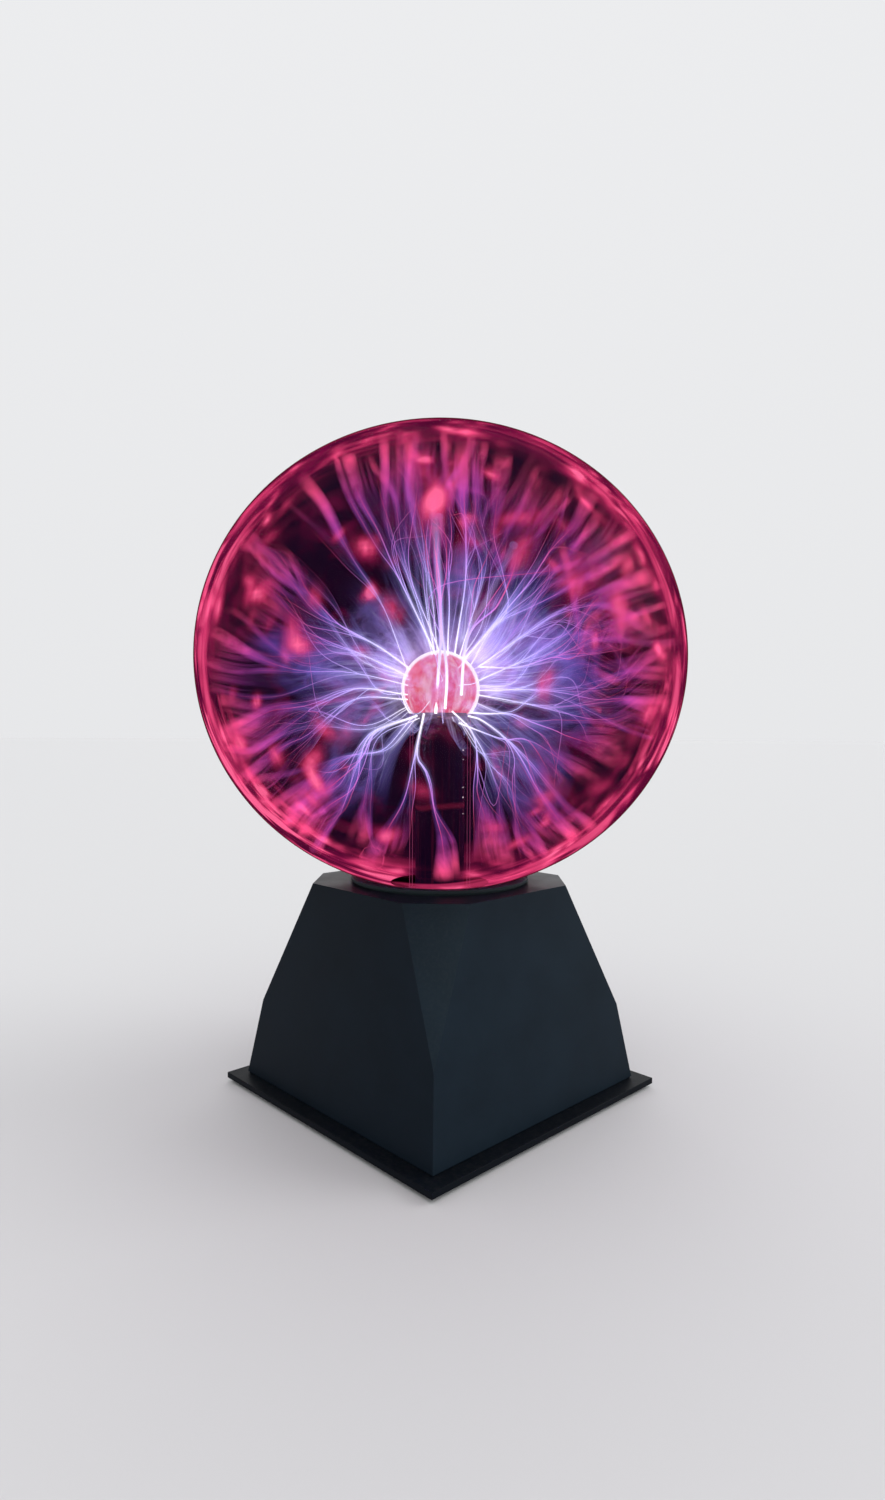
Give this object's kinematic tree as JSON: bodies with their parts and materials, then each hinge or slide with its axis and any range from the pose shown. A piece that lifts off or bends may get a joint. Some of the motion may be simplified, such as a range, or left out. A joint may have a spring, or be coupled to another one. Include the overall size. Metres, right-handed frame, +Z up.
{
  "type": "plasma ball",
  "caption": "Glass globe with a central bulb electrode on a pyramid base with cut corners and a square flange, with its high-voltage drive, low-voltage inlet and mode switch.",
  "frame": {"origin": "middle of the footprint, on the plane the four feet stand on", "axes": "+Z up through the globe's axis; the inlet and the mode switch face +Y"},
  "size_m": [0.2031, 0.2032, 0.2781],
  "materials": {
    "globe_glass": "clear blown glass, polished, filled with a noble gas mixture",
    "stem_glass": "clear glass tube and bulb",
    "electrode_wool": "fine conductive steel wool",
    "brass": "plain brass",
    "stem_sleeve": "glossy near-black insulating tube",
    "plug_rubber": "pale silicone rubber",
    "lead_silicone": "red silicone insulation",
    "collar_plastic": "satin black-grey moulded plastic",
    "black_rubber": "black rubber",
    "adhesive": "white silicone adhesive",
    "clamp_plastic": "black glass-filled plastic",
    "screw_steel": "zinc-plated steel",
    "housing_plastic": "satin blue-black moulded plastic with a fine grain",
    "flange_plastic": "satin blue-black moulded plastic",
    "label": "blank satin silver label",
    "board_laminate": "green solder mask on laminate",
    "ferrite": "dark grey sintered ferrite",
    "potting": "black potted coil",
    "bobbin_plastic": "off-white plastic former",
    "copper": "enamelled copper wire",
    "component_black": "black moulded epoxy",
    "heat_sink": "plain extruded aluminium",
    "capacitor_sleeve": "dark blue shrink sleeve",
    "capacitor_epoxy": "orange-brown dipped epoxy",
    "resistor_body": "tan lacquered resistor body",
    "microphone_can": "pressed aluminium can",
    "tinned_wire": "tinned copper wire",
    "jack_plastic": "black moulded plastic",
    "nickel": "nickel-plated pin",
    "switch_steel": "folded plated steel",
    "phenolic": "brown phenolic board",
    "slider_plastic": "black moulded plastic",
    "discharge": "glowing gas discharge: white and violet filaments with pink ends"
  },
  "bodies": {
    "base": {"globe_glass": "globe_glass", "stem_glass": "stem_glass", "fill_tip": "stem_glass", "electrode_wool": "electrode_wool", "electrode_contact": "brass", "stem_sleeve": "stem_sleeve", "stem_plug": "plug_rubber", "high_voltage_lead": "lead_silicone", "collar_ring": "collar_plastic", "globe_gasket": "black_rubber", "neck_adhesive": "adhesive", "clamp_ring": "clamp_plastic", "clamp_screws": "screw_steel", "housing": "housing_plastic", "base_plate": "flange_plastic", "base_screws": "screw_steel", "feet": "black_rubber", "rating_label": "label", "circuit_board": "board_laminate", "board_screws": "screw_steel", "transformer_core": "ferrite", "high_voltage_coil": "potting", "primary_bobbin": "bobbin_plastic", "primary_winding": "copper", "power_transistor": "component_black", "heat_sink": "heat_sink", "transistor_screw": "screw_steel", "electrolytic_capacitors": "capacitor_sleeve", "film_capacitors": "capacitor_epoxy", "resistors": "resistor_body", "diodes": "component_black", "control_chip": "component_black", "microphone": "microphone_can", "microphone_sleeve": "black_rubber", "microphone_leads": "tinned_wire", "jack_body": "jack_plastic", "jack_pin": "nickel", "jack_spring": "brass", "switch_frame": "switch_steel", "switch_base": "phenolic", "switch_terminals": "brass"},
    "switch": {"switch_slider": "slider_plastic", "switch_contact": "brass"}
  },
  "joints": [
    {"name": "mode_switch", "type": "slide", "parent": "base", "child": "switch", "axis": [1, 0, 0], "range_m": [0, 0.004]}
  ]
}
